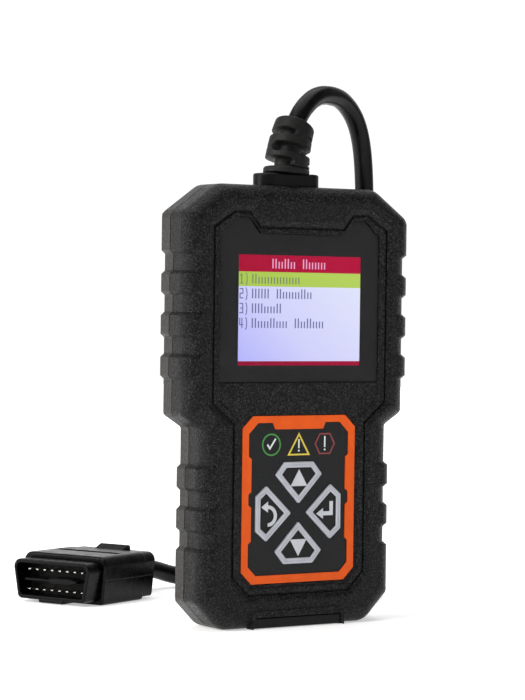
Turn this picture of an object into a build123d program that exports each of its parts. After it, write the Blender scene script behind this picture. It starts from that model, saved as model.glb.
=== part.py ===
from build123d import *
import math
import os

# Handheld engine code reader with an attached diagnostic plug.
# Millimetres. +Z runs up the length of the reader, which stands on its lower end.
# The keypad and screen face -Y. The origin is the middle of the lower end's box.

# ---- driving dimensions of the housing ----
HEIGHT = 173.6
FRONT_Y = -13.3
REAR_Y = 13.6
WALL = 2.2
RIB_DEPTH = 1.6
RIB_SLANT = 1.4
UPPER_HALF = 53.0
LOWER_HALF = 45.0
FOOT_HALF = 34.0
CROWN_HALF = 36.7
FOOT_CORNER_Z = 11.2
CROWN_CORNER_Z = 161.9
SHOULDER_LOW_Z = 78.6
SHOULDER_TOP_Z = 83.7
RIB_FRONT_ROUND = 6.2
CORE_FRONT_ROUND = 7.0
REAR_BEVEL_IN = 5.6
REAR_BEVEL_DEPTH = 7.0
PARTING_GAP = 0.5
END_ROUND = 8.0

# z ranges that stand proud: ribs and the two end blocks
LOWER_BLOCK_TOP = 30.6
UPPER_BLOCK_BOTTOM = 147.4
LOWER_RIBS = ((39.3, 46.5), (55.3, 62.8))
UPPER_RIBS = ((98.9, 106.0), (115.0, 122.2), (131.4, 138.2))

# ---- levels of the front face, along Y ----
LEDGE_Y = -12.6
GROOVE_Y = -11.8
FIELD_Y = -12.1
TRIM_Y = -12.2
PANEL_Y = -11.75
PANEL_BASE_Y = -11.0
INNER_FACE_Y = FIELD_Y + WALL
GROOVE_WIDTH = 0.9
LEDGE_WIDTH = 2.0
RIM_BEVEL = 2.2

# half outlines as (x, z), from the middle of the bottom up to the middle of the top
RECESS_HALF = [(23.7, 13.0), (31.3, 20.5), (31.3, 80.0), (41.0, 88.2), (41.0, 157.0),
               (31.5, 163.2), (24.3, 163.2), (19.7, 157.4)]
LENS_HALF = [(37.2, 96.5), (37.2, 154.0), (30.3, 160.5), (24.3, 160.5), (19.5, 154.4)]
TRIM_HALF = [(21.75, 17.6), (26.5, 22.35), (26.5, 78.55), (21.75, 83.3)]
TRIM_INNER_HALF = [(19.8, 20.8), (23.5, 24.5), (23.5, 33.4), (22.2, 34.4), (22.2, 47.6), (23.5, 48.6),
                   (23.5, 52.8), (22.2, 53.8), (22.2, 66.6), (23.5, 67.6), (23.5, 76.4),
                   (19.3, 80.6), (12.4, 80.6), (11.2, 78.0)]

# ---- screen ----
ACTIVE_HALF = 28.8
ACTIVE_Z = (103.0, 146.2)
WINDOW_HALF = 34.6
WINDOW_Z = (99.2, 151.8)
SHEET = 0.5
MASK = 0.3
LCD_THICK = 2.4

# ---- keys ----
KEY_CENTRE_Z = 45.0
KEY_TIP = 3.5
KEY_SHOULDER = (10.96, 15.08)
KEY_OUTER = (6.8, 20.07)
KEY_BAND = 2.25
RIM_GROOVE_WIDTH = 0.26
RIM_GROOVE_DEPTH = 0.14
KEY_CAP_Y = -12.15
KEY_RIM_Y = -12.45
KEY_STEM_AT = 12.5
SYMBOL_Y = (KEY_CAP_Y - 0.15, KEY_CAP_Y)
KEY_ANGLES = {"up": 0, "right": -90, "down": 180, "left": 90}

# ---- indicator icons printed above the keys ----
ICON_Z = 72.0
ICON_Y = (PANEL_Y - 0.15, PANEL_Y)

# ---- board ----
BOARD_FRONT_Y = -4.6
BOARD_THICK = 1.6
BOARD_REAR_Y = BOARD_FRONT_Y + BOARD_THICK
CASE_SCREWS = [(41.5, 152.0), (41.5, 92.0), (33.5, 24.0)]
BOARD_SCREWS = [(33.0, 160.0), (25.5, 11.5)]

# ---- port cover and the raised frame round it ----
BEZEL_Y = -13.6
BEZEL_HALF = 21.6
BEZEL_TOP_Z = 7.2
COVER_HALF = 19.7
COVER_TOP_Z = 4.2
COVER_AXIS = (-12.3, 1.6)
COVER_PIN_R = 0.5

# ---- gland and cable ----
COLLAR_HALF = (14.1, 6.6)
COLLAR_ROUND = 6.2
COLLAR_TOP_Z = 178.7
GLAND_BORE_R = 5.8
NECK_R = 5.6
FLANGE_Z = (167.1, 170.0)
BOOT_END = 0.84
BOOT_CORE_R = 6.0
BOOT_RING_HEIGHT = 3.0
BOOT_RINGS = ((0.35, 9.0), (0.65, 8.4), (0.92, 7.7))
BOOT_BASE_Z = 181.2
CABLE_D = 7.8
CORD_PLAY = 0.03
CABLE_START_Z = 176.0
LOOP_CENTRE = (52.0, 80.0)
LOOP_R = 38.0
LOOP_ENTRY_DEG = -33.0
LOOP_EXIT_DEG = 65.0
LOOP_LIFT = 0.9

# ---- diagnostic plug ----
PLUG_AT = (-49.8, 96.9)
PLUG_TURN = 24.0
PLUG_RIM_X = -3.0
SHROUD_BACK_X = 8.0
BODY_X = (6.0, 35.0)
PLUG_BACK_X = 43.5
BODY_TOP_Z = 20.4
BODY_MID_Z = 10.2
PIN_MID_Z = 9.6
PIN_PITCH = 4.0
PIN_ROWS = 8.4
CORD_Z = 11.0
GROMMET_R = 4.9


# ---- helpers ----
def mirrored(half):
    return half + [(-x, z) for x, z in reversed(half)]


def outline(points, grow=0.0):
    """A closed XZ face; grow moves its edges outward by that much."""
    face = make_face(Polyline([(x, z) for x, z in points], close=True))
    if grow:
        face = offset(face, amount=grow, kind=Kind.INTERSECTION)
    return Plane.XZ * face


def slab(points, y_low, y_high, grow=0.0):
    """The outline as a solid from y_low to y_high."""
    face = outline(points, grow)
    return Pos(0, y_high, 0) * extrude(face, amount=y_high - y_low)


def block(x_low, x_high, y_low, y_high, z_low, z_high):
    size = (x_high - x_low, y_high - y_low, z_high - z_low)
    middle = ((x_low + x_high) / 2, (y_low + y_high) / 2, (z_low + z_high) / 2)
    return Pos(*middle) * Box(*size)


def centred(x, z, width, height, y_low, y_high):
    """A block whose middle is at x, z."""
    return block(x - width / 2, x + width / 2, y_low, y_high, z - height / 2, z + height / 2)


def rod(x, z, radius, y_low, y_high):
    """A cylinder along Y."""
    return Pos(x, (y_low + y_high) / 2, z) * Rot(90, 0, 0) * Cylinder(radius, y_high - y_low)


def both_sides(places):
    return [(sign * x, z) for x, z in places for sign in (-1, 1)]


def group(pieces):
    """Separate solids kept in one node."""
    return Compound(children=[piece for piece in pieces])


# ---- housing ----
def block_level_half(upper, lower):
    slope = (LOWER_HALF - FOOT_HALF) / FOOT_CORNER_Z
    foot_z = (lower - FOOT_HALF) / slope
    crown_slope = (UPPER_HALF - CROWN_HALF) / (HEIGHT - CROWN_CORNER_Z)
    crown_z = HEIGHT - (upper - CROWN_HALF) / crown_slope
    return [(FOOT_HALF, 0.0), (lower, foot_z), (lower, SHOULDER_LOW_Z), (upper, SHOULDER_TOP_Z),
            (upper, crown_z), (CROWN_HALF, HEIGHT)]


def rounded_body(half, front_round, crown_round):
    body = slab(mirrored(half), FRONT_Y, REAR_Y)
    ends = [edge for edge in body.edges().filter_by(Axis.Y)
            if edge.center().Z > HEIGHT - 1 or edge.center().Z < 1]
    body = fillet(ends, END_ROUND)
    body = fillet(body.edges().group_by(Axis.Y)[0], front_round)
    body = chamfer(body.edges().group_by(Axis.Y)[-1], length=REAR_BEVEL_IN, length2=REAR_BEVEL_DEPTH)
    crown = [edge for edge in body.edges().filter_by(Axis.Y) if 150 < edge.center().Z < 168]
    body = fillet(crown, crown_round)
    others = [edge for edge in body.edges().filter_by(Axis.Y) if 4 < edge.center().Z < 150]
    return fillet(others, 2.5)


def side_profile(half, front_round, z):
    """One side's XY section at height z, from x = 38 out to the side wall."""
    inner = half - front_round
    start = (38.0 if half > 48 else 32.0)
    line = Polyline([(half, FRONT_Y + front_round), (half, REAR_Y - REAR_BEVEL_DEPTH),
                     (half - REAR_BEVEL_IN, REAR_Y), (start, REAR_Y), (start, FRONT_Y), (inner, FRONT_Y)])
    turn = RadiusArc((inner, FRONT_Y), (half, FRONT_Y + front_round), -front_round)
    return Pos(0, 0, z) * make_face([line, turn])


def rib(half, z_low, z_high):
    """A grip rib with slanted ends that runs round one side of the housing."""
    high = side_profile(half, RIB_FRONT_ROUND, z_low)
    pieces = extrude(high, amount=z_high - z_low)
    for z_rib, z_core in ((z_low, z_low - RIB_SLANT), (z_high, z_high + RIB_SLANT)):
        ends = [side_profile(half, RIB_FRONT_ROUND, z_rib),
                side_profile(half - RIB_DEPTH, CORE_FRONT_ROUND, z_core)]
        ends.sort(key=lambda face: face.center().Z)
        pieces += loft(ends, ruled=True)
    return pieces


def housing_body():
    core_half = block_level_half(UPPER_HALF - RIB_DEPTH, LOWER_HALF - RIB_DEPTH)
    core = rounded_body(core_half, CORE_FRONT_ROUND, 5.0)
    full = rounded_body(block_level_half(UPPER_HALF, LOWER_HALF), RIB_FRONT_ROUND, 5.0)
    ends = full & block(-60, 60, -20, 20, -1, LOWER_BLOCK_TOP)
    ends += full & block(-60, 60, -20, 20, UPPER_BLOCK_BOTTOM, HEIGHT + 1)
    body = core + ends
    ribs = [(LOWER_HALF, low, high) for low, high in LOWER_RIBS]
    ribs += [(UPPER_HALF, low, high) for low, high in UPPER_RIBS]
    ribs += [(LOWER_HALF, LOWER_BLOCK_TOP - 4, LOWER_BLOCK_TOP)]
    ribs += [(UPPER_HALF, UPPER_BLOCK_BOTTOM, UPPER_BLOCK_BOTTOM + 4)]
    for half, low, high in ribs:
        side = rib(half, low, high)
        body += side
        body += mirror(side, about=Plane.YZ)
    return body


def cavity():
    """The hollow inside both shells, kept clear of the rear bevel."""
    half = block_level_half(UPPER_HALF - RIB_DEPTH, LOWER_HALF - RIB_DEPTH)
    bevel_start = REAR_Y - REAR_BEVEL_DEPTH - 1.0
    space = slab(mirrored(half), INNER_FACE_Y, bevel_start, grow=-WALL)
    return space + slab(mirrored(half), bevel_start, REAR_Y - WALL, grow=-(WALL + REAR_BEVEL_IN))


def tapered_cut(half, y_front, y_back, grow_front, grow_back):
    """A cut with slanted walls between two sizes of one outline."""
    front = Pos(0, y_front, 0) * outline(mirrored(half), grow_front)
    back = Pos(0, y_back, 0) * outline(mirrored(half), grow_back)
    return loft([front, back], ruled=True)


def gland_bore(radius):
    return Pos(0, 0, HEIGHT - 4) * Cylinder(radius, 20)


def half_space(y_low, y_high):
    return block(-80, 80, y_low, y_high, -20, HEIGHT + 20)


def front_shell(body):
    core = mirrored(block_level_half(UPPER_HALF - RIB_DEPTH, LOWER_HALF - RIB_DEPTH))
    shell = body & half_space(-20, -PARTING_GAP / 2)
    bezel = block(-BEZEL_HALF, BEZEL_HALF, BEZEL_Y, -9.0, 0.0, BEZEL_TOP_Z)
    corners = [edge for edge in bezel.edges().filter_by(Axis.Y) if edge.center().Z > 1]
    shell += fillet(corners, 2.0)
    shell -= slab(core, INNER_FACE_Y, 1.0, grow=-WALL)
    # face recess: slanted rim, groove, smooth ledge, slanted step to the grained field
    shell -= tapered_cut(RECESS_HALF, FRONT_Y - 0.05, LEDGE_Y, RIM_BEVEL, 0.0)
    shell -= slab(mirrored(RECESS_HALF), LEDGE_Y - 0.01, GROOVE_Y) \
        - slab(mirrored(RECESS_HALF), LEDGE_Y - 1, GROOVE_Y + 1, grow=-GROOVE_WIDTH)
    shell -= tapered_cut(RECESS_HALF, LEDGE_Y - 0.01, FIELD_Y, -(GROOVE_WIDTH + LEDGE_WIDTH),
                         -(GROOVE_WIDTH + LEDGE_WIDTH + 0.5))
    # pocket for the lens and the opening for the display behind it
    shell -= slab(mirrored(LENS_HALF), FRONT_Y, FIELD_Y + SHEET + MASK, grow=0.25)
    shell -= block(-WINDOW_HALF, WINDOW_HALF, FRONT_Y, 0, *WINDOW_Z)
    # keypad opening with a ledge behind it that carries the panel
    shell -= slab(mirrored(TRIM_HALF), FRONT_Y - 1, INNER_FACE_Y + 1, grow=0.2)
    shell += slab(mirrored(TRIM_HALF), INNER_FACE_Y, INNER_FACE_Y + 1.2, grow=1.5) \
        - slab(mirrored(TRIM_HALF), INNER_FACE_Y - 1, INNER_FACE_Y + 2, grow=-1.6)
    for x, z in both_sides(CASE_SCREWS):
        shell += rod(x, z, 3.0, INNER_FACE_Y - 0.5, -PARTING_GAP / 2)
        shell -= rod(x, z, 1.3, INNER_FACE_Y + 0.8, 1.0)
    for x, z in both_sides(BOARD_SCREWS):
        shell += rod(x, z, 2.4, INNER_FACE_Y - 0.5, BOARD_FRONT_Y)
        shell -= rod(x, z, 0.8, INNER_FACE_Y + 0.8, BOARD_FRONT_Y + 1)
    # slot for the port cover, its hinge sockets, and the way through to the port
    axis_y, axis_z = COVER_AXIS
    shell -= block(-COVER_HALF - 0.3, COVER_HALF + 0.3, BEZEL_Y - 1, -10.8, -1, COVER_TOP_Z + 0.3)
    shell -= Pos(0, axis_y, axis_z) * Rot(0, 90, 0) * Cylinder(COVER_PIN_R + 0.06, 2 * COVER_HALF + 2.2)
    for side in (-1, 1):
        foot = side * (COVER_HALF + 0.9)
        shell -= block(foot - 0.7, foot + 0.7, BEZEL_Y - 1, -12.0, -1, 0.8)
    shell -= block(-5.4, 5.4, -11.0, INNER_FACE_Y + 0.1, 1.0, 4.3)
    shell -= block(-5.4, 5.4, INNER_FACE_Y, BOARD_REAR_Y + 0.3, 1.0, 2.3)
    return shell - gland_bore(GLAND_BORE_R)


def rear_shell(body):
    core = mirrored(block_level_half(UPPER_HALF - RIB_DEPTH, LOWER_HALF - RIB_DEPTH))
    shell = body & half_space(PARTING_GAP / 2, 20)
    shell -= cavity()
    # tongue that closes the parting line from inside
    shell += slab(core, -1.6, PARTING_GAP / 2 + 1.4, grow=-(WALL + 0.1)) \
        - slab(core, -2.0, PARTING_GAP / 2 + 2.0, grow=-(WALL + 1.3))
    shell += slab(core, PARTING_GAP / 2, PARTING_GAP / 2 + 1.4, grow=-(WALL - 0.5)) \
        - slab(core, 0, PARTING_GAP / 2 + 2.0, grow=-(WALL + 1.3))
    for x, z in both_sides(CASE_SCREWS):
        shell += rod(x, z, 3.9, PARTING_GAP / 2, REAR_Y - WALL + 0.5)
        shell -= rod(x, z, 1.45, 0.0, REAR_Y + 1)
        shell -= rod(x, z, 3.0, REAR_Y - 3.0, REAR_Y + 1)
    # shallow recess for a rating label
    shell -= block(-28, 28, REAR_Y - 0.4, REAR_Y + 1, 98, 140)
    return shell - gland_bore(GLAND_BORE_R)


# ---- screen ----
def screen_lens():
    return slab(mirrored(LENS_HALF), FIELD_Y, FIELD_Y + SHEET)


def screen_mask():
    frame = slab(mirrored(LENS_HALF), FIELD_Y + SHEET, FIELD_Y + SHEET + MASK)
    return frame - block(-ACTIVE_HALF, ACTIVE_HALF, -20, 0, *ACTIVE_Z)


def lcd_panel():
    top = FIELD_Y + SHEET + MASK
    return block(-33.0, 33.0, top, top + LCD_THICK, 100.6, 150.6)


def lcd_holder():
    top = FIELD_Y + SHEET + MASK + LCD_THICK
    tray = block(-34.0, 34.0, top, top + 1.0, 100.0, 151.2)
    tray -= block(-24, 24, top - 1, top + 2, 110.0, 141.0)
    for x, z in both_sides([(30.0, 104.0), (30.0, 147.0)]):
        tray += rod(x, z, 1.6, top + 1.0, BOARD_FRONT_Y)
    return tray


def lcd_ribbon():
    top = FIELD_Y + SHEET + MASK + LCD_THICK
    down = block(-9, 9, top - 0.5, BOARD_FRONT_Y, 98.2, 98.5)
    return down + block(-9, 9, top - 0.5, top - 0.2, 98.2, 100.6)


# ---- keypad ----
def keypad_trim():
    ring = slab(mirrored(TRIM_HALF), TRIM_Y, PANEL_BASE_Y) - slab(mirrored(TRIM_INNER_HALF), -20, 0)
    return ring


def key_outline(grow=0.0):
    x_shoulder, z_shoulder = KEY_SHOULDER
    x_outer, z_outer = KEY_OUTER
    points = [(0, KEY_TIP), (x_shoulder, z_shoulder), (x_outer, z_outer),
              (-x_outer, z_outer), (-x_shoulder, z_shoulder)]
    face = make_face(Polyline(points, close=True))
    if grow:
        face = offset(face, amount=grow, kind=Kind.INTERSECTION)
    return fillet(face.vertices(), 0.7 if grow > -1 else 0.25)


def key_prism(y_low, y_high, grow=0.0):
    return Pos(0, y_high, 0) * extrude(Plane.XZ * key_outline(grow), amount=y_high - y_low)


def at_key(piece, angle):
    """Turns a piece made for the upper key to another key."""
    return Pos(0, 0, KEY_CENTRE_Z) * Rot(0, -angle, 0) * piece


def key_cap():
    cap = key_prism(KEY_CAP_Y, -11.4, grow=-KEY_BAND - 0.02)
    cap += key_prism(-11.4, -9.75)
    cap += key_prism(-9.75, -8.95, grow=0.9)
    return cap + rod(0, KEY_STEM_AT, 1.5, -8.95, BOARD_FRONT_Y - 2.2)


def key_rim():
    """A raised band with bevelled edges and a fine groove along its middle."""
    band = key_prism(KEY_RIM_Y, -11.4) - key_prism(-20, 0, grow=-KEY_BAND)
    band = chamfer(band.edges().group_by(Axis.Y)[0], 0.3)
    middle = -KEY_BAND / 2
    groove_floor = KEY_RIM_Y + RIM_GROOVE_DEPTH
    groove = key_prism(KEY_RIM_Y - 1, groove_floor, grow=middle + RIM_GROOVE_WIDTH / 2)
    return band - (groove - key_prism(-20, 0, grow=middle - RIM_GROOVE_WIDTH / 2))


def symbol_up():
    return slab([(-3.9, 10.5), (3.9, 10.5), (0, 17.1)], *SYMBOL_Y)


def symbol_enter():
    """A bent arrow, in the right key's own place."""
    points = [(8.4, -0.7), (11.6, 1.4), (11.6, 0.1), (14.7, 0.1), (14.7, 4.1),
              (16.3, 4.1), (16.3, -1.5), (11.6, -1.5), (11.6, -2.8)]
    return Pos(0, 0, KEY_CENTRE_Z) * slab(points, *SYMBOL_Y)


def symbol_return():
    """A curved arrow, in the left key's own place."""
    outer, inner = 4.2, 2.8
    x_mid, z_mid = -14.4, -0.9
    ring = rod(x_mid, z_mid, outer, *SYMBOL_Y) - rod(x_mid, z_mid, inner, -20, 0)
    ring &= block(x_mid, 0, -20, 0, z_mid - 8, z_mid + 8)
    head = slab([(-17.5, 2.6), (x_mid, 4.8), (x_mid, 0.5)], *SYMBOL_Y)
    return Pos(0, 0, KEY_CENTRE_Z) * (ring + head)


def keypad_panel():
    panel = slab(mirrored(TRIM_HALF), PANEL_BASE_Y, INNER_FACE_Y, grow=-0.15)
    panel += slab(mirrored(TRIM_INNER_HALF), PANEL_Y, PANEL_BASE_Y, grow=-0.08)
    for angle in KEY_ANGLES.values():
        panel -= at_key(key_prism(-20, 0, grow=0.2), angle)
    return panel


def ok_ring():
    return rod(-12.9, ICON_Z, 4.4, *ICON_Y) - rod(-12.9, ICON_Z, 3.8, -20, 0)


def pending_triangle():
    outer = slab([(-5.3, 67.6), (5.3, 67.6), (0, 76.6)], *ICON_Y)
    return outer - slab([(-5.3, 67.6), (5.3, 67.6), (0, 76.6)], -20, 0, grow=-0.65)


def fault_hexagon():
    points = [(17.2, ICON_Z), (14.9, ICON_Z + 4.2), (9.7, ICON_Z + 4.2), (7.4, ICON_Z),
              (9.7, ICON_Z - 4.2), (14.9, ICON_Z - 4.2)]
    return slab(points, *ICON_Y) - slab(points, -20, 0, grow=-0.6)


def indicator_marks():
    tick = [(-15.0, 71.9), (-14.5, 72.3), (-13.6, 71.0), (-11.2, 74.5), (-10.7, 74.1), (-13.6, 69.9)]
    marks = [slab(tick, *ICON_Y)]
    for x, z_low, z_high in ((0.0, 70.4, 74.0), (12.3, 70.6, 75.0)):
        marks.append(block(x - 0.3, x + 0.3, *ICON_Y, z_low, z_high))
        marks.append(rod(x, z_low - 0.95, 0.38, *ICON_Y))
    return group(marks)


# ---- board and what is on it ----
def main_board():
    half = [(5.0, 1.3), (5.0, 5.5), (24.0, 5.5), (29.0, 10.5),
            (29.0, 80.0), (37.5, 88.5), (37.5, 160.0), (31.5, 166.0)]
    board = slab(mirrored(half), BOARD_FRONT_Y, BOARD_REAR_Y)
    for x, z in both_sides(BOARD_SCREWS):
        board -= rod(x, z, 1.1, -20, 20)
    return board


def key_places():
    places = []
    for angle in KEY_ANGLES.values():
        turn = math.radians(angle)
        places.append((-KEY_STEM_AT * math.sin(turn), KEY_CENTRE_Z + KEY_STEM_AT * math.cos(turn)))
    return places


def key_switches():
    switches = []
    for x, z in key_places():
        body = block(x - 3, x + 3, BOARD_FRONT_Y - 1.2, BOARD_FRONT_Y, z - 3, z + 3)
        switches.append(body + rod(x, z, 1.7, BOARD_FRONT_Y - 1.45, BOARD_FRONT_Y - 1.2))
    return group(switches)


def indicator_leds():
    top = BOARD_FRONT_Y - 1.0
    return group([centred(x, ICON_Z, 2.4, 1.6, top, BOARD_FRONT_Y) for x in (-12.9, 0.0, 12.3)])


def chip(x, z, width, height, thick):
    body = centred(x, z, width, height, BOARD_REAR_Y, BOARD_REAR_Y + thick)
    return chamfer(body.edges().group_by(Axis.Y)[-1], 0.2)


def processor_chip():
    return chip(0, 112, 14, 14, 1.4)


def support_chips():
    sizes = [(-20, 120, 8, 6, 1.4), (20, 118, 6, 5, 1.4), (-16, 92, 5, 9, 1.4), (17, 88, 6, 6, 1.0)]
    return group([chip(*size) for size in sizes])


def board_capacitors():
    places = ((-26, 146), (-17, 150), (27, 134))
    return group([rod(x, z, 3.0, BOARD_REAR_Y, BOARD_REAR_Y + 6.0) for x, z in places])


def crystal():
    can = block(-13, -2, BOARD_REAR_Y, BOARD_REAR_Y + 3.2, 126, 130.5)
    return fillet(can.edges().filter_by(Axis.Y), 1.5)


def buzzer():
    can = rod(17, 40, 6.0, BOARD_REAR_Y, BOARD_REAR_Y + 5.5)
    return can - rod(17, 40, 1.0, BOARD_REAR_Y + 4.5, BOARD_REAR_Y + 7)


def usb_socket():
    front = -10.6
    shell = block(-3.9, 3.9, front, BOARD_FRONT_Y, 1.3, 4.1)
    shell -= block(-3.5, 3.5, front - 1, BOARD_FRONT_Y - 1.5, 1.65, 3.75)
    return shell + block(-2.2, 2.2, front + 0.8, BOARD_FRONT_Y - 1.4, 2.5, 2.9)


def cable_header():
    body = block(-11, 11, BOARD_REAR_Y, BOARD_REAR_Y + 5.0, 152.5, 158.5)
    return body - block(-9.8, 9.8, BOARD_REAR_Y + 1.0, BOARD_REAR_Y + 6.0, 154.0, 160.0)


def case_screws():
    screws = []
    head_y = REAR_Y - 3.0
    for x, z in both_sides(CASE_SCREWS):
        screw = rod(x, z, 2.6, head_y, head_y + 1.7) + rod(x, z, 1.25, -7.5, head_y)
        for width, height in ((2.6, 0.7), (0.7, 2.6)):
            screw -= centred(x, z, width, height, head_y + 0.8, head_y + 3)
        screws.append(screw)
    return group(screws)


def board_screws():
    screws = []
    for x, z in both_sides(BOARD_SCREWS):
        screw = rod(x, z, 2.0, BOARD_REAR_Y, BOARD_REAR_Y + 1.3)
        screw += rod(x, z, 0.75, INNER_FACE_Y + 1.2, BOARD_REAR_Y)
        screw -= block(x - 1.2, x + 1.2, BOARD_REAR_Y + 0.6, BOARD_REAR_Y + 3, z - 0.3, z + 0.3)
        screws.append(screw)
    return group(screws)


# ---- port cover ----
def port_cover():
    axis_y, axis_z = COVER_AXIS
    flap = block(-COVER_HALF, COVER_HALF, -13.2, -11.6, 0.4, COVER_TOP_Z)
    flap = fillet(flap.edges().filter_by(Axis.X).group_by(Axis.Y)[0], 0.35)
    return flap + Pos(0, axis_y, axis_z) * Rot(0, 90, 0) * Cylinder(COVER_PIN_R, 2 * COVER_HALF + 1.8)


# ---- gland and cable ----
def gland_collar():
    x_half, y_half = COLLAR_HALF
    height = COLLAR_TOP_Z - HEIGHT
    collar = extrude(Pos(0, 0, HEIGHT) * RectangleRounded(2 * x_half, 2 * y_half, COLLAR_ROUND), amount=height)
    collar = chamfer(collar.edges().group_by(Axis.Z)[-1], 0.5)
    return collar - Pos(0, 0, HEIGHT) * Cylinder(GLAND_BORE_R, 30)


def cable_route():
    """Corner points of the cable from the gland to the top of the loop."""
    return [(0.0, 0.0, CABLE_START_Z), (0.0, 0.0, 184.5), (6.1, 2.5, 201.2), (15.9, 6.5, 210.0),
            (25.6, 10.5, 212.7), (38.7, 15.9, 211.3), (50.0, 20.5, 200.3), (54.0, 22.2, 178.0),
            (54.8, 23.8, 140.0), (56.8, 26.6, 98.0), (59.0, 29.6, 58.0), (62.8, 34.4, 36.5),
            (71.2, 44.2, 20.5), loop_point(LOOP_ENTRY_DEG, 12.6)]


def tail_route():
    """Corner points of the cable from the bottom of the loop to the plug."""
    return [loop_point(LOOP_EXIT_DEG, 4.6), (50.0, 122.8, 4.0), (30.0, 128.5, 4.0),
            plug_point(PLUG_BACK_X + 20.0, 0.0, CORD_Z), plug_point(PLUG_BACK_X, 0.0, CORD_Z)]


def loop_point(degrees, z):
    turn = math.radians(degrees)
    return (LOOP_CENTRE[0] + LOOP_R * math.cos(turn), LOOP_CENTRE[1] + LOOP_R * math.sin(turn), z)


def plug_point(x, y, z):
    turn = math.radians(PLUG_TURN)
    return (PLUG_AT[0] + x * math.cos(turn) - y * math.sin(turn),
            PLUG_AT[1] + x * math.sin(turn) + y * math.cos(turn), z)


def corner_radii(points):
    """Each arc is as large as its two runs allow."""
    radii = []
    for before, at, after in zip(points, points[1:], points[2:]):
        run_in = Vector(*at) - Vector(*before)
        run_out = Vector(*after) - Vector(*at)
        half_turn = math.radians(run_in.get_angle(run_out)) / 2
        radii.append(0.45 * min(run_in.length, run_out.length) / math.tan(half_turn))
    return radii


def tube(points, radius):
    path = FilletPolyline(*points, radius=corner_radii(points))
    start = Plane(origin=points[0], z_dir=Vector(*points[1]) - Vector(*points[0]))
    return sweep(start * Circle(radius), path=path), path


def report_tube(name, points, solid, path):
    print(name, "radii", [round(value, 1) for value in corner_radii(points)])
    ratio = solid.volume / (math.pi * (CABLE_D / 2) ** 2 * path.length)
    print(name, "length", round(path.length, 1), "volume over section x length", round(ratio, 4))


def strain_relief():
    """A moulded boot that leans with the cable, with a neck and a flange inside the housing."""
    route = cable_route()
    bend = corner_radii(route)[0]
    near, far = Vector(*route[1]), Vector(*route[2])
    end = near + (far - near) * BOOT_END
    spine = FilletPolyline((0, 0, COLLAR_TOP_Z), route[1], tuple(end), radius=bend)
    boot = sweep(Pos(0, 0, COLLAR_TOP_Z) * Circle(BOOT_CORE_R), path=spine)
    boot += Pos(0, 0, (COLLAR_TOP_Z + BOOT_BASE_Z) / 2) * Cylinder(9.2, BOOT_BASE_Z - COLLAR_TOP_Z)
    for share, radius in BOOT_RINGS:
        boot += spine.location_at(share) * Cylinder(radius, BOOT_RING_HEIGHT)
    neck_top = COLLAR_TOP_Z + 1
    boot += Pos(0, 0, (FLANGE_Z[0] + neck_top) / 2) * Cylinder(NECK_R, neck_top - FLANGE_Z[0])
    flange = Pos(0, 0, sum(FLANGE_Z) / 2) * Cylinder(8.4, FLANGE_Z[1] - FLANGE_Z[0])
    boot += flange & block(-9, 9, -5.3, 5.3, 160, 180)
    bore_path = FilletPolyline((0, 0, 160), route[1], route[2], radius=bend)
    boot -= sweep(Pos(0, 0, 160) * Circle(CABLE_D / 2 + CORD_PLAY), path=bore_path)
    # wider mouth where the cable starts to bend away
    return boot - spine.location_at(1.0) * Cylinder(CABLE_D / 2 + 0.35, 6.4)


def inner_cable():
    """The cable's stretch inside the housing, from its gland to the board's header."""
    stem = Pos(0, 0, (166.2 + CABLE_START_Z) / 2) * Cylinder(CABLE_D / 2, CABLE_START_Z - 166.2)
    wires = block(-9.0, 9.0, BOARD_REAR_Y + 1.6, BOARD_REAR_Y + 4.2, 154.6, 166.9)
    return stem + wires


def cable_loop():
    """Outer shape of the loop of spare cable that lies behind the reader."""
    x_mid, y_mid = LOOP_CENTRE
    height = 2 * CABLE_D
    ring = Cylinder(LOOP_R + CABLE_D / 2 + 0.4, height) - Cylinder(LOOP_R - CABLE_D / 2 - 0.4, height + 2)
    return Pos(x_mid, y_mid, LOOP_LIFT + height / 2) * ring


def cable_tie():
    turn = 16.0
    height = 2 * CABLE_D + 0.2
    middle = loop_point(turn, LOOP_LIFT + CABLE_D)
    strap = Box(CABLE_D + 2.8, 6.0, height + 1.5) - Box(CABLE_D + 1.4, 7.0, height)
    return Pos(*middle) * Rot(0, 0, turn) * strap


# ---- diagnostic plug, in its own frame: +X from its face to its cable, Z up from the floor ----
def on_plug(piece):
    return Pos(PLUG_AT[0], PLUG_AT[1], 0) * Rot(0, 0, PLUG_TURN) * piece


def plug_section(top_half, bottom_half, z_low, z_high, round_top, round_low):
    face = make_face(Polyline([(top_half, z_high), (-top_half, z_high), (-bottom_half, z_low),
                               (bottom_half, z_low)], close=True))
    high = [v for v in face.vertices() if v.Y > (z_low + z_high) / 2]
    face = fillet(high, round_top)
    low = [v for v in face.vertices() if v.Y < z_low + 0.1]
    return Plane.YZ * fillet(low, round_low)


def plug_block(x_low, x_high, *section):
    return Pos(x_low, 0, 0) * extrude(plug_section(*section), amount=x_high - x_low)


def plug_shroud():
    outer = plug_block(PLUG_RIM_X, SHROUD_BACK_X, 20.6, 17.6, 1.5, 18.2, 3.4, 2.2)
    outer = fillet(outer.edges().group_by(Axis.X)[0], 0.5)
    inner = plug_block(PLUG_RIM_X - 1, SHROUD_BACK_X + 1, 19.0, 16.2, 3.0, 16.7, 2.2, 1.2)
    key = block(PLUG_RIM_X, BODY_X[0], -6.4, 6.4, 0.4, 1.6)
    return outer + key - inner


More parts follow.
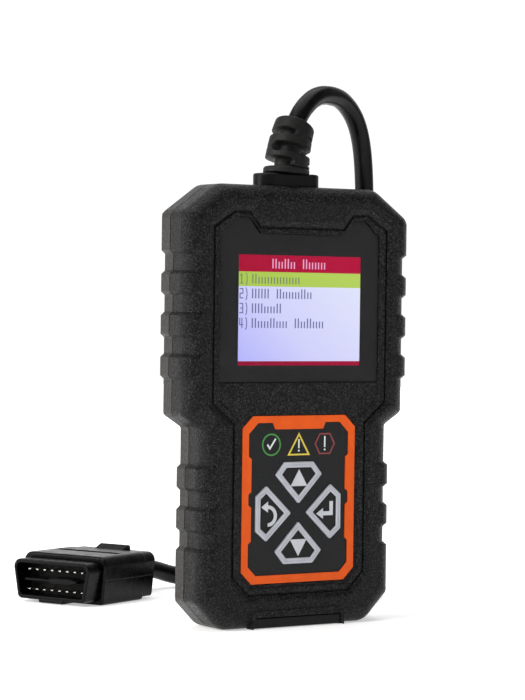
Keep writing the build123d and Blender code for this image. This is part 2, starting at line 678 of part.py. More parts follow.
def plug_insert():
    base = plug_block(5.0, SHROUD_BACK_X, 18.9, 16.1, 3.1, 16.6, 2.2, 1.2)
    thin = block(-1.0, 5.0, 4.0, 15.5, PIN_MID_Z - 0.4, PIN_MID_Z + 0.4)
    side = [(4.2, 0.4), (0.0, 1.3), (-8.0, 1.3), (-12.2, 0.4)]
    lens = [(y, PIN_MID_Z + z) for y, z in side] + [(y, PIN_MID_Z - z) for y, z in reversed(side)]
    thick = Pos(-1.5, 0, 0) * extrude(Plane.YZ * make_face(Polyline(lens, close=True)), amount=6.5)
    return base + thin + chamfer(thick.edges().group_by(Axis.X)[0], 0.3)


def plug_pins():
    pins = []
    for row in (-0.5, 0.5):
        for column in range(8):
            y = (column - 3.5) * PIN_PITCH
            z = PIN_MID_Z + row * PIN_ROWS
            pin = block(0.0, 5.0, y - 0.55, y + 0.55, z - 0.36, z + 0.36)
            pins.append(chamfer(pin.edges().group_by(Axis.X)[0], 0.22))
    return group(pins)


def plug_body():
    body = plug_block(BODY_X[0], BODY_X[1], 22.2, 20.2, 0.0, BODY_TOP_Z, 4.0, 1.6)
    body = fillet(body.edges().group_by(Axis.X)[0], 1.0)
    body = chamfer(body.edges().group_by(Axis.X)[-1], 0.6)
    tail = plug_block(BODY_X[1] - 2, PLUG_BACK_X, 21.4, 19.4, 0.9, BODY_TOP_Z - 0.4, 3.6, 1.6)
    body += chamfer(tail.edges().group_by(Axis.X)[-1], 1.2)
    body -= plug_block(BODY_X[0] - 1, SHROUD_BACK_X, 20.65, 17.65, 1.45, 18.25, 3.4, 2.2)
    body -= plug_block(SHROUD_BACK_X - 0.1, PLUG_BACK_X - 2.2, 16.5, 15.5, 3.2, 16.6, 2.0, 1.2)
    body -= Pos(PLUG_BACK_X, 0, CORD_Z) * Rot(0, 90, 0) * Cylinder(GROMMET_R + 0.1, 8)
    body -= block(20.5, 25.0, -16.5, 16.5, BODY_TOP_Z - 1.2, BODY_TOP_Z + 1)
    return body


def plug_grip():
    """The raised wedge-shaped thumb grip at the rear of the plug's top."""
    foot = BODY_TOP_Z - 0.6
    side = Polyline([(36.2, foot), (41.6, foot + 2.3), (42.6, foot + 1.9), (42.9, foot)], close=True)
    return extrude(Plane.XZ * make_face(side), amount=7.5, both=True)


def plug_upper_shell():
    half = plug_body() & block(-20, 60, -40, 40, BODY_MID_Z, 40)
    return half + plug_grip()


def plug_lower_shell():
    return plug_body() & block(-20, 60, -40, 40, -5, BODY_MID_Z)


def plug_grommet():
    ring = Cylinder(GROMMET_R, 3.4) - Cylinder(CABLE_D / 2 + CORD_PLAY, 10)
    return Pos(PLUG_BACK_X - 1.0, 0, CORD_Z) * Rot(0, 90, 0) * ring


def save(name, piece):
    export_step(piece, f"parts/{name}.step")


def main():
    os.makedirs("parts", exist_ok=True)
    body = housing_body()
    cable, cable_path = tube(cable_route(), CABLE_D / 2)
    tail, tail_path = tube(tail_route(), CABLE_D / 2)
    report_tube("cable", cable_route(), cable, cable_path)
    report_tube("cable_tail", tail_route(), tail, tail_path)
    pieces = {
        "front_shell": front_shell(body),
        "rear_shell": rear_shell(body),
        "screen_lens": screen_lens(),
        "screen_mask": screen_mask(),
        "lcd_panel": lcd_panel(),
        "lcd_holder": lcd_holder(),
        "lcd_ribbon": lcd_ribbon(),
        "keypad_trim": keypad_trim(),
        "keypad_panel": keypad_panel(),
        "ok_ring": ok_ring(),
        "pending_triangle": pending_triangle(),
        "fault_hexagon": fault_hexagon(),
        "indicator_marks": indicator_marks(),
        "main_board": main_board(),
        "key_switches": key_switches(),
        "indicator_leds": indicator_leds(),
        "processor_chip": processor_chip(),
        "support_chips": support_chips(),
        "board_capacitors": board_capacitors(),
        "crystal": crystal(),
        "buzzer": buzzer(),
        "usb_socket": usb_socket(),
        "cable_header": cable_header(),
        "case_screws": case_screws(),
        "board_screws": board_screws(),
        "port_cover": port_cover(),
        "gland_collar": gland_collar(),
        "strain_relief": strain_relief(),
        "inner_cable": inner_cable(),
        "cable": cable,
        "cable_loop": cable_loop(),
        "cable_tie": cable_tie(),
        "cable_tail": tail,
        "plug_shroud": on_plug(plug_shroud()),
        "plug_insert": on_plug(plug_insert()),
        "plug_pins": on_plug(plug_pins()),
        "plug_upper_shell": on_plug(plug_upper_shell()),
        "plug_lower_shell": on_plug(plug_lower_shell()),
        "plug_grommet": on_plug(plug_grommet()),
    }
    for name, angle in KEY_ANGLES.items():
        pieces[f"key_{name}_cap"] = at_key(key_cap(), angle)
        pieces[f"key_{name}_rim"] = at_key(key_rim(), angle)
    pieces["key_up_symbol"] = at_key(symbol_up(), KEY_ANGLES["up"])
    pieces["key_down_symbol"] = at_key(symbol_up(), KEY_ANGLES["down"])
    pieces["key_right_symbol"] = symbol_enter()
    pieces["key_left_symbol"] = symbol_return()
    for name, piece in pieces.items():
        save(name, piece)


main()
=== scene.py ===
import math

import bpy
from mathutils import Matrix, Vector


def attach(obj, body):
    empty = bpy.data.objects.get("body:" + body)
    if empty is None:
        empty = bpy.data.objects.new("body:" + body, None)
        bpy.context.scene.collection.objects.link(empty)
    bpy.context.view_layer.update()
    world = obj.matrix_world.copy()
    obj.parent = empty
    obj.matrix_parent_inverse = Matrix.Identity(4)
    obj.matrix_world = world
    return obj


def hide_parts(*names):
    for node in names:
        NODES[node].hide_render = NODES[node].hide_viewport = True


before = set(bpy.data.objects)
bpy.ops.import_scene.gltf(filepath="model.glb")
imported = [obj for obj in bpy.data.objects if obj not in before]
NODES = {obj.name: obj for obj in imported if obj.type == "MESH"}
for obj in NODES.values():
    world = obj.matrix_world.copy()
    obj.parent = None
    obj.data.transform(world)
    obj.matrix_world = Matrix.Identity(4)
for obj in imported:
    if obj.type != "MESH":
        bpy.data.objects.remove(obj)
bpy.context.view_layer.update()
MM = 0.001


def srgb(red, green, blue):
    """Screen colour 0..255 as linear RGBA."""
    def linear(value):
        value = value / 255.0
        return value / 12.92 if value <= 0.04045 else ((value + 0.055) / 1.055) ** 2.4
    return (linear(red), linear(green), linear(blue), 1.0)


# ---------------------------------------------------------------- camera
CAMERA_AT = Vector((-0.54196, -0.82696, 0.12592))
CAMERA_TURN = math.radians(-32.7514)
CAMERA_TILT = math.radians(89.0051)
CAMERA_ROLL = math.radians(0.7313)
camera_data = bpy.data.cameras.new("camera")
camera_data.sensor_fit = "VERTICAL"
camera_data.sensor_height = 24.0
camera_data.lens = 85.2
camera_data.clip_start = 0.01
camera = bpy.data.objects.new("camera", camera_data)
bpy.context.scene.collection.objects.link(camera)
camera.matrix_world = (Matrix.Translation(CAMERA_AT) @ Matrix.Rotation(CAMERA_TURN, 4, "Z")
                       @ Matrix.Rotation(CAMERA_TILT, 4, "X") @ Matrix.Rotation(CAMERA_ROLL, 4, "Z"))
bpy.context.scene.camera = camera
bpy.context.scene.view_settings.view_transform = "Standard"


# ---------------------------------------------------------------- cord
CABLE_D = 7.8
LOOP_CENTRE = (52.0, 80.0)
LOOP_R = 38.0
LOOP_ENTRY = -33.0
LOOP_EXIT = 425.0
UPPER_TURN_Z = 11.9
FLOOR_TURN_Z = 4.0
PLUG_AT = (-49.8, 96.9)
PLUG_TURN = math.radians(24)


def loop_point(degrees, z, radius=LOOP_R):
    turn = math.radians(degrees)
    return (LOOP_CENTRE[0] + radius * math.cos(turn), LOOP_CENTRE[1] + radius * math.sin(turn), z)


def plug_point(x, y, z):
    return (PLUG_AT[0] + x * math.cos(PLUG_TURN) - y * math.sin(PLUG_TURN),
            PLUG_AT[1] + x * math.sin(PLUG_TURN) + y * math.cos(PLUG_TURN), z)


def loop_height(degrees):
    """The turn starts on the upper layer and comes down to the floor before it passes under itself."""
    if degrees <= 70:
        return UPPER_TURN_Z
    if degrees >= 150:
        return FLOOR_TURN_Z
    return UPPER_TURN_Z + (FLOOR_TURN_Z - UPPER_TURN_Z) * (degrees - 70) / 80


def cable_route():
    route = [(0.0, 0.0, 176.0), (0.0, 0.0, 184.5), (6.1, 2.5, 201.2), (15.9, 6.5, 210.0), (25.6, 10.5, 212.7),
             (38.7, 15.9, 211.3), (50.0, 20.5, 200.3), (54.0, 22.2, 178.0), (54.8, 23.8, 140.0),
             (56.8, 26.6, 98.0), (59.0, 29.6, 58.0), (62.8, 34.4, 36.5), (71.2, 44.2, 20.5)]
    steps = 17
    for index in range(steps + 1):
        degrees = LOOP_ENTRY + (LOOP_EXIT - LOOP_ENTRY) * index / steps
        edge = index in (0, steps)
        route.append(loop_point(degrees, loop_height(degrees), LOOP_R if edge else LOOP_R * 1.018))
    route += [(50.0, 122.8, 4.0), (30.0, 128.5, 4.0)]
    route += [plug_point(63.5, 0.0, 11.0), plug_point(43.5, 0.0, 11.0)]
    return [(x * MM, y * MM, z * MM) for x, y, z in route]


def nurbs(name, points, radius):
    curve = bpy.data.curves.new(name, "CURVE")
    curve.dimensions = "3D"
    spline = curve.splines.new("NURBS")
    spline.points.add(len(points) - 1)
    for point, (x, y, z) in zip(spline.points, points):
        point.co = (x, y, z, 1.0)
        point.radius = radius
    spline.order_u = 3
    spline.use_endpoint_u = True
    spline.resolution_u = 14
    curve.resolution_u = 14
    curve.bevel_depth = 1.0
    curve.bevel_resolution = 8
    curve.use_fill_caps = True
    piece = bpy.data.objects.new(name, curve)
    bpy.context.scene.collection.objects.link(piece)
    return piece


def centreline(piece):
    """The points of a curve's own line."""
    depth = piece.data.bevel_depth
    piece.data.bevel_depth = 0.0
    bpy.context.view_layer.update()
    mesh = bpy.data.meshes.new_from_object(piece.evaluated_get(bpy.context.evaluated_depsgraph_get()))
    points = [v.co.copy() for v in mesh.vertices]
    bpy.data.meshes.remove(mesh)
    piece.data.bevel_depth = depth
    return points


flex = nurbs("flex", cable_route(), CABLE_D / 2 * MM)
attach(flex, "reader")
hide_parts("cable", "cable_loop", "cable_tail")
line = centreline(flex)


# ---------------------------------------------------------------- materials
class Surface:
    """A node material built round one Principled shader."""

    def __init__(self, name, color, roughness, metallic=0.0, specular=0.5):
        self.material = bpy.data.materials.new(name)
        self.material.use_nodes = True
        self.tree = self.material.node_tree
        self.shader = self.tree.nodes["Principled BSDF"]
        self.set("Base Color", color)
        self.set("Roughness", roughness)
        self.set("Metallic", metallic)
        self.set("Specular IOR Level", specular)
        self.coords = self.tree.nodes.new("ShaderNodeTexCoord").outputs["Object"]
        self.normal = None

    def set(self, socket, value):
        self.shader.inputs[socket].default_value = value
        return self

    def link(self, source, target):
        self.tree.links.new(source, target)

    def noise(self, size_mm, detail=2.0, stretch=(1, 1, 1), rough=0.5):
        mapping = self.tree.nodes.new("ShaderNodeMapping")
        mapping.inputs["Scale"].default_value = stretch
        self.link(self.coords, mapping.inputs["Vector"])
        node = self.tree.nodes.new("ShaderNodeTexNoise")
        node.inputs["Scale"].default_value = 1000.0 / size_mm
        node.inputs["Detail"].default_value = detail
        node.inputs["Roughness"].default_value = rough
        self.link(mapping.outputs["Vector"], node.inputs["Vector"])
        return node.outputs["Fac"]

    def ramp(self, source, stops):
        node = self.tree.nodes.new("ShaderNodeValToRGB")
        elements = node.color_ramp.elements
        while len(elements) < len(stops):
            elements.new(0.5)
        for element, (place, color) in zip(elements, stops):
            element.position = place
            element.color = color if hasattr(color, "__len__") else (color, color, color, 1.0)
        self.link(source, node.inputs["Fac"])
        return node.outputs["Color"]

    def bump(self, height, strength, distance_mm):
        node = self.tree.nodes.new("ShaderNodeBump")
        node.inputs["Strength"].default_value = strength
        node.inputs["Distance"].default_value = distance_mm * MM
        self.link(height, node.inputs["Height"])
        if self.normal is not None:
            self.link(self.normal, node.inputs["Normal"])
        self.normal = node.outputs["Normal"]
        self.link(self.normal, self.shader.inputs["Normal"])
        return self

    def edge(self, radius_mm):
        """Softens sharp edges, so that they catch the light as moulded ones do."""
        node = self.tree.nodes.new("ShaderNodeBevel")
        node.samples = 6
        node.inputs["Radius"].default_value = radius_mm * MM
        self.normal = node.outputs["Normal"]
        self.link(self.normal, self.shader.inputs["Normal"])
        return self

    def color_from(self, source, stops):
        self.link(self.ramp(source, stops), self.shader.inputs["Base Color"])
        return self

    def roughness_from(self, source, low, high):
        self.link(self.ramp(source, [(0.3, low), (0.7, high)]), self.shader.inputs["Roughness"])
        return self


def grained(name, dark, light, roughness, grain_mm, depth_mm, specular=0.5, speck_and_glint_gain=1.0, edge_mm=0.0):
    """Spark-textured moulded plastic: pebbled bump, uneven sheen, and light specks in the colour that are
    partly random tone and partly painted glints of the grain; a higher speck gain makes them lighter.
    """
    surface = Surface(name, light, roughness, specular=specular)
    if edge_mm:
        surface.edge(edge_mm)
    grain = surface.noise(grain_mm, detail=2.0, rough=0.7)
    # lightest colour stop: random specks that are partly painted glints of the grain facets
    speck_and_glint = tuple(c * (1 + 1.9 * speck_and_glint_gain) + 0.003 * speck_and_glint_gain for c in light[:3]) + (1.0,)
    surface.color_from(surface.noise(grain_mm * 0.9, detail=2.0, rough=0.6),
                       [(0.42, dark), (0.53, light), (0.64, speck_and_glint)])
    surface.roughness_from(surface.noise(grain_mm * 1.7, detail=1.0), roughness - 0.12, roughness + 0.1)
    surface.bump(surface.noise(9.0, detail=2.0), 0.15, 0.25)
    surface.bump(grain, 1.0, depth_mm)
    return surface


def smooth_plastic(name, color, roughness, specular=0.5, haze_mm=6.0, edge_mm=0.0):
    """Moulded plastic with faint flow marks and handling haze."""
    surface = Surface(name, color, roughness, specular=specular)
    if edge_mm:
        surface.edge(edge_mm)
    lighter = tuple(min(1.0, c * 1.16 + 0.0012) for c in color[:3]) + (1.0,)
    surface.color_from(surface.noise(haze_mm, detail=3.0), [(0.3, color), (0.75, lighter)])
    surface.roughness_from(surface.noise(haze_mm * 0.6, detail=4.0), roughness - 0.05, roughness + 0.08)
    surface.bump(surface.noise(0.5, detail=2.0), 0.25, 0.02)
    return surface


def glowing(name, color, strength):
    surface = Surface(name, (0.0, 0.0, 0.0, 1.0), 0.6, specular=0.2)
    surface.set("Emission Color", color)
    surface.set("Emission Strength", strength)
    return surface


# the front shell gets the brightest colour specks, partly painted glints of its grain
SHELL = grained("shell_grain", srgb(1, 1, 1), srgb(8, 8, 9), 0.34, 0.62, 0.4, 0.17, 5.0, 0.5)
REAR = grained("rear_grain", srgb(14, 13, 12), srgb(34, 32, 30), 0.42, 0.6, 0.25, 0.42, 1.2, 0.5)
COVER = smooth_plastic("cover_satin", srgb(15, 15, 17), 0.42, 0.2, edge_mm=0.25)
MASK = smooth_plastic("mask_print", srgb(36, 36, 37), 0.6, 0.2)
TRIM = smooth_plastic("trim_orange", srgb(231, 88, 8), 0.42, 0.24, edge_mm=0.2)
PANEL = grained("panel_fine", srgb(20, 21, 23), srgb(25, 26, 28), 0.5, 0.5, 0.02, 0.25, 0.1)
CAP = smooth_plastic("key_black", srgb(17, 17, 19), 0.45, 0.25, edge_mm=0.2)
SYMBOL = smooth_plastic("print_silver", srgb(200, 203, 209), 0.4)
GREEN = smooth_plastic("print_green", srgb(62, 140, 58), 0.45)
YELLOW = smooth_plastic("print_yellow", srgb(222, 198, 66), 0.45)
RED = smooth_plastic("print_red", srgb(132, 52, 54), 0.45)
WHITE = smooth_plastic("print_white", srgb(226, 230, 228), 0.45)
COLLAR = smooth_plastic("collar_satin", srgb(5, 5, 6), 0.34, 0.16, edge_mm=0.6)
PLUG = smooth_plastic("plug_satin", srgb(2, 2, 3), 0.28, 0.14, edge_mm=0.6)
INSERT = smooth_plastic("insert_matte", srgb(6, 6, 6), 0.5, 0.15)
BOARD = smooth_plastic("solder_mask", srgb(14, 74, 44), 0.35)
CHIP = smooth_plastic("package_black", srgb(30, 30, 30), 0.5)
HOLDER = smooth_plastic("natural_plastic", srgb(214, 212, 204), 0.5)
RIBBON = smooth_plastic("amber_film", srgb(176, 110, 48), 0.3)
LED = smooth_plastic("led_resin", srgb(232, 228, 210), 0.25)

RIM = smooth_plastic("rim_silver", srgb(186, 188, 196), 0.36, 0.5, edge_mm=0.12)
RIM.set("Metallic", 0.2)

RUBBER = Surface("boot_rubber", srgb(20, 20, 20), 0.5, specular=0.24)
RUBBER.color_from(RUBBER.noise(1.6, detail=4.0), [(0.3, srgb(12, 12, 12)), (0.7, srgb(24, 24, 23))])
RUBBER.roughness_from(RUBBER.noise(1.1, detail=3.0), 0.46, 0.66)
RUBBER.bump(RUBBER.noise(0.35, detail=3.0), 0.6, 0.035)

JACKET = Surface("cable_jacket", srgb(4, 4, 5), 0.28, specular=0.16)
JACKET.color_from(JACKET.noise(5.0, detail=3.0), [(0.3, srgb(3, 3, 4)), (0.7, srgb(6, 6, 7))])
JACKET.roughness_from(JACKET.noise(2.4, detail=4.0), 0.25, 0.38)
JACKET.bump(JACKET.noise(14.0, detail=1.0), 0.2, 0.4)
JACKET.bump(JACKET.noise(0.4, detail=2.0), 0.3, 0.015)

STRAP = Surface("strap_weave", srgb(26, 26, 26), 0.85, specular=0.2)
STRAP.bump(STRAP.noise(0.5, detail=3.0, stretch=(1, 1, 3)), 1.0, 0.2)
STRAP.color_from(STRAP.noise(0.8, detail=3.0), [(0.3, srgb(18, 18, 18)), (0.7, srgb(40, 40, 40))])


def metal(name, color, roughness):
    surface = Surface(name, color, roughness, metallic=1.0)
    brushed = surface.noise(0.8, detail=4.0, stretch=(1, 1, 6))
    surface.roughness_from(brushed, roughness - 0.08, roughness + 0.12)
    surface.bump(surface.noise(0.3, detail=3.0, stretch=(1, 1, 8)), 0.3, 0.01)
    return surface


STEEL = metal("zinc_steel", (0.5, 0.5, 0.52, 1.0), 0.32)
CAN = metal("aluminium_can", (0.62, 0.62, 0.64, 1.0), 0.28)
PIN = metal("nickel_pin", (0.86, 0.84, 0.78, 1.0), 0.22)

LENS = Surface("lens_sheet", (0.02, 0.02, 0.021, 1.0), 0.3, specular=0.18)
LENS.set("Alpha", 0.05)
LENS.roughness_from(LENS.noise(3.0, detail=4.0), 0.26, 0.38)
LENS.bump(LENS.noise(0.4, detail=2.0), 0.2, 0.01)

FINISHES = {
    "front_shell": SHELL, "rear_shell": REAR, "screen_lens": LENS, "screen_mask": MASK, "lcd_panel": CHIP,
    "lcd_holder": HOLDER, "lcd_ribbon": RIBBON, "keypad_trim": TRIM, "keypad_panel": PANEL,
    "ok_ring": GREEN, "pending_triangle": YELLOW, "fault_hexagon": RED, "indicator_marks": WHITE,
    "main_board": BOARD, "key_switches": CHIP, "indicator_leds": LED, "processor_chip": CHIP,
    "support_chips": CHIP, "board_capacitors": CAN, "crystal": CAN, "buzzer": CHIP, "usb_socket": STEEL,
    "cable_header": HOLDER, "case_screws": STEEL, "board_screws": STEEL, "port_cover": COVER,
    "gland_collar": COLLAR, "strain_relief": RUBBER, "inner_cable": JACKET, "cable": JACKET,
    "cable_loop": JACKET, "cable_tail": JACKET, "cable_tie": STRAP, "plug_shroud": PLUG,
    "plug_insert": INSERT, "plug_pins": PIN, "plug_upper_shell": PLUG, "plug_lower_shell": PLUG,
    "plug_grommet": RUBBER,
}
for key in ("up", "right", "down", "left"):
    FINISHES[f"key_{key}_cap"] = CAP
    FINISHES[f"key_{key}_rim"] = RIM
    FINISHES[f"key_{key}_symbol"] = SYMBOL


def paint(piece, surface):
    if not piece.material_slots:
        piece.data.materials.append(surface.material)
    for slot in piece.material_slots:
        slot.link = "OBJECT"
        slot.material = surface.material


for node, surface in FINISHES.items():
    paint(NODES[node], surface)
paint(flex, JACKET)


# ---------------------------------------------------------------- mesh helpers
def mesh_piece(name, vertices, faces, surface, smooth=True):
    mesh = bpy.data.meshes.new(name)
    mesh.from_pydata([tuple(v) for v in vertices], [], faces)
    mesh.update()
    if smooth:
        for polygon in mesh.polygons:
            polygon.use_smooth = True
    piece = bpy.data.objects.new(name, mesh)
    bpy.context.scene.collection.objects.link(piece)
    paint(piece, surface)
    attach(piece, "reader")
    return piece


def smoothstep(low, high, value):
    share = max(0.0, min(1.0, (value - low) / (high - low)))
    return share * share * (3 - 2 * share)


# ---------------------------------------------------------------- strain relief boot
BOOT_BASE_Z = 178.7
BOOT_LENGTH = 20.8
VIEW_TURN = CAMERA_TURN - math.radians(90)


def along(points, start_z):
    """Arc positions of a line, counted from where it passes start_z (metres), in mm."""
    total = 0.0
    places = []
    offset_mm = None
    for before, at in zip([points[0]] + points, points):
        step = (at - before).length / MM
        if offset_mm is None and at.z >= start_z:
            share = (start_z - before.z) / max(at.z - before.z, 1e-9)
            offset_mm = total + step * share
        total += step
        places.append(total)
    return [place - offset_mm for place in places]


def point_at(points, places, place):
    """The point at a place along a line, and the line's direction there."""
    for index in range(1, len(points)):
        if places[index] >= place:
            share = (place - places[index - 1]) / max(places[index] - places[index - 1], 1e-9)
            spot = points[index - 1].lerp(points[index], share)
            return spot, (points[index] - points[index - 1]).normalized()
    return points[-1], (points[-1] - points[-2]).normalized()


# each slot: middle along the boot, half height, middle angle from the viewer, half spread (degrees)
SLOTS = ((3.9, 1.6, -76, 94), (9.1, 1.75, 42, 94), (15.0, 1.3, -80, 92),
         (4.1, 0.6, 108, 46), (9.3, 0.45, -122, 44), (15.0, 0.6, 108, 62))
BOOT_CORE_R = 5.0
BOOT_R = 9.3
BOOT_TAPER = 1.2
BOOT_LIP = 0.9
BOOT_RING_R = 9.25
BOOT_RING_HEIGHT = 2.1


def boot_radius(place, degrees):
    """Radius of the boot in mm, at a place along it and an angle round it from the viewer."""
    radius = BOOT_R - BOOT_TAPER * place / BOOT_LENGTH
    radius -= BOOT_LIP * smoothstep(BOOT_LENGTH - BOOT_LIP, BOOT_LENGTH, place) ** 2
    if place < BOOT_RING_HEIGHT:
        upper = 0.3 * smoothstep(1.7, BOOT_RING_HEIGHT, place)
        lower = 0.3 * (1 - smoothstep(0.0, 0.35, place))
        return BOOT_RING_R - upper - lower
    depth = 0.0
    for middle, half, angle, spread in SLOTS:
        turn = (degrees - angle + 180) % 360 - 180
        reach = abs(turn) / spread
        if reach >= 1:
            continue
        tall = half * math.sqrt(max(0.0, 1 - max(0.0, (reach - 0.72) / 0.28) ** 2))
        depth = max(depth, 1 - smoothstep(tall - 0.14, tall + 0.1, abs(place - middle)))
    radius -= 0.9 * (1 - smoothstep(2.4, 2.7, place))
    return radius + (BOOT_CORE_R - radius) * depth


def build_boot():
    """The slotted rubber boot, wrapped round the cord's own line."""
    places = along(line, BOOT_BASE_Z * MM)
    rows = 210
    columns = 160
    toward = Vector((math.cos(VIEW_TURN), math.sin(VIEW_TURN), 0))
    vertices = []
    for row in range(rows + 1):
        place = BOOT_LENGTH * row / rows
        spot, tangent = point_at(line, places, place)
        front = (toward - tangent * toward.dot(tangent)).normalized()
        side = tangent.cross(front)
        for column in range(columns):
            turn = 2 * math.pi * column / columns
            degrees = math.degrees(turn)
            radius = boot_radius(place, degrees) * MM
            vertices.append(spot + front * (radius * math.cos(turn)) + side * (radius * math.sin(turn)))
    top = len(vertices)
    spot, tangent = point_at(line, places, BOOT_LENGTH + 0.05)
    front = (toward - tangent * toward.dot(tangent)).normalized()
    side = tangent.cross(front)
    for column in range(columns):
        turn = 2 * math.pi * column / columns
        vertices.append(spot + (front * math.cos(turn) + side * math.sin(turn)) * (CABLE_D / 2 * MM))
    faces = []
    for row in range(rows + 1):
        for column in range(columns):
            after = (column + 1) % columns
            low = row * columns
            high = low + columns
            faces.append((low + column, low + after, high + after, high + column))
    faces.append(tuple(reversed(range(columns))))
    boot = mesh_piece("boot", vertices, faces, RUBBER)
    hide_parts("strain_relief")
    return boot


boot = build_boot()


# ---------------------------------------------------------------- strap round the loop
STRAP_DEGREES = 16.0
STRAP_HALF_WIDTH = 3.0
STRAP_THICKNESS = 0.55
STRAP_CORNER = 3.2
STRAP_OVERLAP = 16


def build_strap():
    """A soft hook-and-loop strap, wrapped once and a bit, with its free end outside."""
    turn = math.radians(STRAP_DEGREES)
    middle = Vector(loop_point(STRAP_DEGREES, 0.9 + CABLE_D)) * MM
    across = Vector((math.cos(turn), math.sin(turn), 0))
    along_loop = Vector((-math.sin(turn), math.cos(turn), 0))
    half_x = CABLE_D / 2 + 1.15 - STRAP_CORNER
    half_z = CABLE_D + 0.75 - STRAP_CORNER
    ring = []
    for quarter, (x_side, z_side) in enumerate(((1, 1), (-1, 1), (-1, -1), (1, -1))):
        for step in range(7):
            angle = math.radians(90 * quarter + 90 * step / 6)
            ring.append((x_side * half_x + STRAP_CORNER * math.cos(angle),
                         z_side * half_z + STRAP_CORNER * math.sin(angle)))
    path = [(x, z, 0.0) for x, z in ring]
    path += [(x, z, STRAP_THICKNESS) for x, z in ring[:STRAP_OVERLAP]]
    vertices = []
    for x, z, lift in path:
        length = math.hypot(x, z)
        x, z = x + x / length * lift, z + z / length * lift
        inner = (x - x / length * STRAP_THICKNESS, z - z / length * STRAP_THICKNESS)
        for u, w in ((x, z), inner):
            for side in (-STRAP_HALF_WIDTH, STRAP_HALF_WIDTH):
                spot = middle + across * (u * MM) + along_loop * (side * MM)
                vertices.append(spot + Vector((0, 0, w * MM)))
    faces = []
    for index in range(len(path) - 1):
        a, b = index * 4, index * 4 + 4
        faces += [(a, a + 1, b + 1, b), (a + 2, b + 2, b + 3, a + 3), (a, b, b + 2, a + 2),
                  (a + 1, a + 3, b + 3, b + 1)]
    end = (len(path) - 1) * 4
    faces += [(0, 2, 3, 1), (end, end + 1, end + 3, end + 2)]
    strap = mesh_piece("strap", vertices, faces, STRAP)
    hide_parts("cable_tie")
    return strap


strap = build_strap()


# ---------------------------------------------------------------- display picture
PICTURE_Y = -11.31
ACTIVE_HALF = 28.8
ACTIVE_Z = (103.0, 146.2)
HEADER_Z = 139.6
MARKED_Z = 133.9
FOOT_Z = 104.7
ROW = 5.75
CELL = 2.87
TICK_PLACES = (0.3, 1.72)
TICK_WIDTH = 0.55
TALL_TICK = 3.9
SHORT_TICK = 2.75


def rectangles(name, boxes, y, surface):
    """Flat tiles that face the viewer, in one piece; each box is (x low, x high, z low, z high) in mm."""
    vertices = []
    faces = []
    for x_low, x_high, z_low, z_high in boxes:
        start = len(vertices)
        for x, z in ((x_low, z_low), (x_high, z_low), (x_high, z_high), (x_low, z_high)):
            vertices.append((x * MM, y * MM, z * MM))
        faces.append((start, start + 1, start + 2, start + 3))
    return mesh_piece(name, vertices, faces, surface, smooth=False)


def lit(name, stops, strength, direction):
    """A backlit colour with a slow change across the screen."""
    surface = glowing(name, stops[0][1], strength)
    mapping = surface.tree.nodes.new("ShaderNodeMapping")
    mapping.inputs["Location"].default_value = direction[1]
    mapping.inputs["Scale"].default_value = direction[0]
    surface.link(surface.coords, mapping.inputs["Vector"])
    split = surface.tree.nodes.new("ShaderNodeSeparateXYZ")
    surface.link(mapping.outputs["Vector"], split.inputs["Vector"])
    total = surface.tree.nodes.new("ShaderNodeMath")
    total.operation = "ADD"
    surface.link(split.outputs["X"], total.inputs[0])
    surface.link(split.outputs["Z"], total.inputs[1])
    surface.link(surface.ramp(total.outputs["Value"], stops), surface.shader.inputs["Emission Color"])
    return surface


ACROSS = ((9.0, 1.0, 10.0), (0.26, 0.0, -1.03))
FIELD_TINTS = [(0.0, srgb(180, 182, 255)), (0.35, srgb(212, 212, 255)), (1.0, srgb(234, 238, 255))]
FIELD = lit("lcd_field", FIELD_TINTS, 1.06, ACROSS)
HEADER = lit("lcd_header", [(0.0, srgb(168, 0, 44)), (1.0, srgb(188, 0, 60))], 1.0, ACROSS)
MARKED = lit("lcd_marked", [(0.0, srgb(172, 204, 70)), (1.0, srgb(190, 220, 100))], 1.0, ACROSS)
FOOT = lit("lcd_foot", [(0.0, srgb(150, 6, 50)), (1.0, srgb(182, 6, 60))], 1.0, ACROSS)
INK = glowing("lcd_ink", srgb(104, 104, 158), 1.0)
MARKED_INK = glowing("lcd_marked_ink", srgb(120, 138, 112), 1.0)
HEADER_INK = glowing("lcd_header_ink", srgb(244, 176, 222), 1.0)

# row numbers as strokes, each (x low, x high, z low, z high) in mm inside a cell
STROKES = {
    "1": [(0.9, 1.4, 0.0, 4.0), (0.4, 0.9, 3.1, 3.6), (0.4, 1.9, 0.0, 0.4)],
    "2": [(0.2, 1.9, 3.6, 4.0), (1.5, 1.95, 2.0, 3.8), (0.2, 1.9, 1.8, 2.2), (0.2, 0.65, 0.2, 2.0),
          (0.2, 2.0, 0.0, 0.4)],
    "3": [(0.2, 1.9, 3.6, 4.0), (1.5, 1.95, 0.2, 3.8), (0.5, 1.9, 1.8, 2.2), (0.2, 1.9, 0.0, 0.4)],
    "4": [(1.2, 1.65, 0.0, 4.0), (0.2, 0.65, 1.4, 4.0), (0.2, 2.1, 1.1, 1.5)],
}
BRACKET = [(0.5, 0.9, 3.7, 4.3), (0.8, 1.2, 2.6, 3.8), (0.95, 1.35, 0.8, 2.8), (0.8, 1.2, -0.2, 1.0),
           (0.5, 0.9, -0.7, -0.1)]


def word(x, z, letters, tall=()):
    """A word as even upright ticks, two for each letter, so that nothing can be read."""
    ticks = []
    for index in range(letters):
        high_z = z + (TALL_TICK if index in tall else SHORT_TICK)
        for place in TICK_PLACES:
            low = x + index * CELL + place
            ticks.append((low, low + TICK_WIDTH, z + 0.1, high_z))
    return ticks


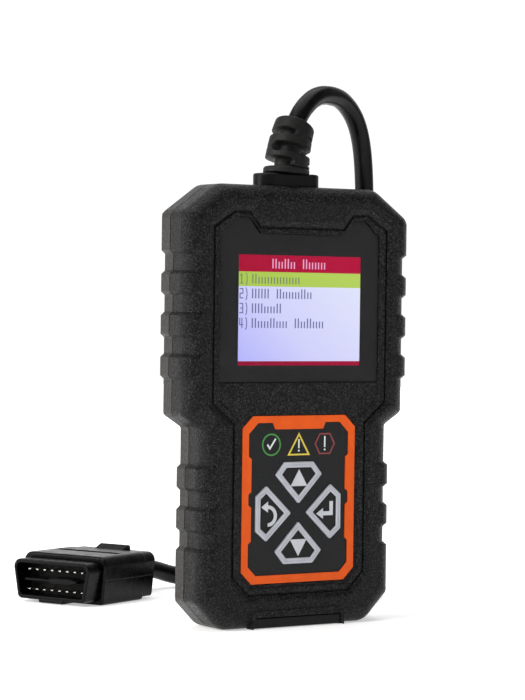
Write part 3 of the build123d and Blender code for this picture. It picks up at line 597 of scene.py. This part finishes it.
def build_picture():
    left = -ACTIVE_HALF
    rectangles("lcd_field", [(left, -left, FOOT_Z, MARKED_Z)], PICTURE_Y, FIELD)
    rectangles("lcd_header", [(left, -left, HEADER_Z, ACTIVE_Z[1])], PICTURE_Y, HEADER)
    rectangles("lcd_marked_row", [(left, -left, MARKED_Z, HEADER_Z)], PICTURE_Y, MARKED)
    rectangles("lcd_foot", [(left, -left, ACTIVE_Z[0], FOOT_Z)], PICTURE_Y, FOOT)
    ink_y = PICTURE_Y - 0.02
    # each line: its ink, its number, then each word's letters and which of them are tall
    lines = [(MARKED_INK, "1", [(8, (0,))]),
             (INK, "2", [(3, (0, 1, 2)), (6, (0, 4))]),
             (INK, "3", [(5, (0, 1, 4))]),
             (INK, "4", [(6, (0, 3)), (5, (0, 2))])]
    for index, (ink, digit, words) in enumerate(lines):
        z = HEADER_Z - ROW * (index + 1) + 1.0
        tiles = [(left + 0.4 + a, left + 0.4 + b, z + c, z + d) for a, b, c, d in STROKES[digit]]
        tiles += [(left + CELL + a, left + CELL + b, z + c, z + d) for a, b, c, d in BRACKET]
        x = left + 2 * CELL + 0.3
        for letters, tall in words:
            tiles += word(x, z, letters, tall)
            x += (letters + 1) * CELL
        rectangles(f"lcd_line_{digit}", tiles, ink_y, ink)
    title_z = HEADER_Z + 1.3
    tiles = word(-13.5, title_z, 4, (0, 2)) + word(-13.5 + 5 * CELL, title_z, 4, (0,))
    rectangles("lcd_title", tiles, ink_y, HEADER_INK)


build_picture()


# ---------------------------------------------------------------- floor, backdrop and light
def area_light(name, place, target, size, power, color=(1.0, 1.0, 1.0)):
    data = bpy.data.lights.new(name, "AREA")
    data.shape = "RECTANGLE"
    data.size = size[0]
    data.size_y = size[1]
    data.energy = power
    data.color = color
    light = bpy.data.objects.new(name, data)
    bpy.context.scene.collection.objects.link(light)
    light.location = place
    light.rotation_euler = (Vector(target) - Vector(place)).to_track_quat("-Z", "Y").to_euler()
    return light


def flat_piece(name, corners, surface):
    mesh = bpy.data.meshes.new(name)
    mesh.from_pydata([tuple(corner) for corner in corners], [], [tuple(range(len(corners)))])
    piece = bpy.data.objects.new(name, mesh)
    bpy.context.scene.collection.objects.link(piece)
    paint(piece, surface)


def build_stage():
    """A pale floor that glows a little more with distance, so it meets the backdrop without a line."""
    floor = Surface("floor_pale", (0.9, 0.9, 0.9, 1.0), 0.85, specular=0.05)
    floor.roughness_from(floor.noise(40.0), 0.8, 0.9)
    far = floor.tree.nodes.new("ShaderNodeVectorMath")
    far.operation = "LENGTH"
    floor.link(floor.coords, far.inputs[0])
    floor.link(floor.ramp(far.outputs["Value"], [(0.15, 0.46), (0.5, 0.66), (1.0, 1.05)]),
               floor.shader.inputs["Emission Color"])
    floor.set("Emission Strength", 1.0)
    reach = 4.0
    corners = [(-reach, -reach, 0), (reach, -reach, 0), (reach, reach, 0), (-reach, reach, 0)]
    flat_piece("floor", corners, floor)
    wall = glowing("backdrop_white", (1.0, 1.0, 1.0, 1.0), 1.05)
    away = Vector((-math.sin(CAMERA_TURN), math.cos(CAMERA_TURN), 0)) * 3.0
    side = Vector((math.cos(CAMERA_TURN), math.sin(CAMERA_TURN), 0)) * 3.5
    top = Vector((0, 0, 2.2))
    flat_piece("backdrop", [away - side, away + side, away + side + top, away - side + top], wall)
    world = bpy.data.worlds.new("studio")
    world.use_nodes = True
    world.node_tree.nodes["Background"].inputs["Color"].default_value = (1.0, 1.0, 1.0, 1.0)
    world.node_tree.nodes["Background"].inputs["Strength"].default_value = 0.13
    bpy.context.scene.world = world
    area_light("top", (0.1, 0.25, 1.5), (0, 0.05, 0), (1.6, 1.6), 15.0)
    area_light("left_rear", (-1.3, 0.6, 0.6), (0, 0, 0.09), (0.7, 0.9), 11.0, (1.0, 0.96, 0.92))
    area_light("left_key", (-1.15, -0.22, 0.95), (0, 0, 0.14), (0.35, 0.5), 9.0)
    area_light("front", (0.55, -1.3, 0.6), (0, 0, 0.09), (1.0, 0.8), 1.0)


build_stage()

bpy.context.view_layer.update()
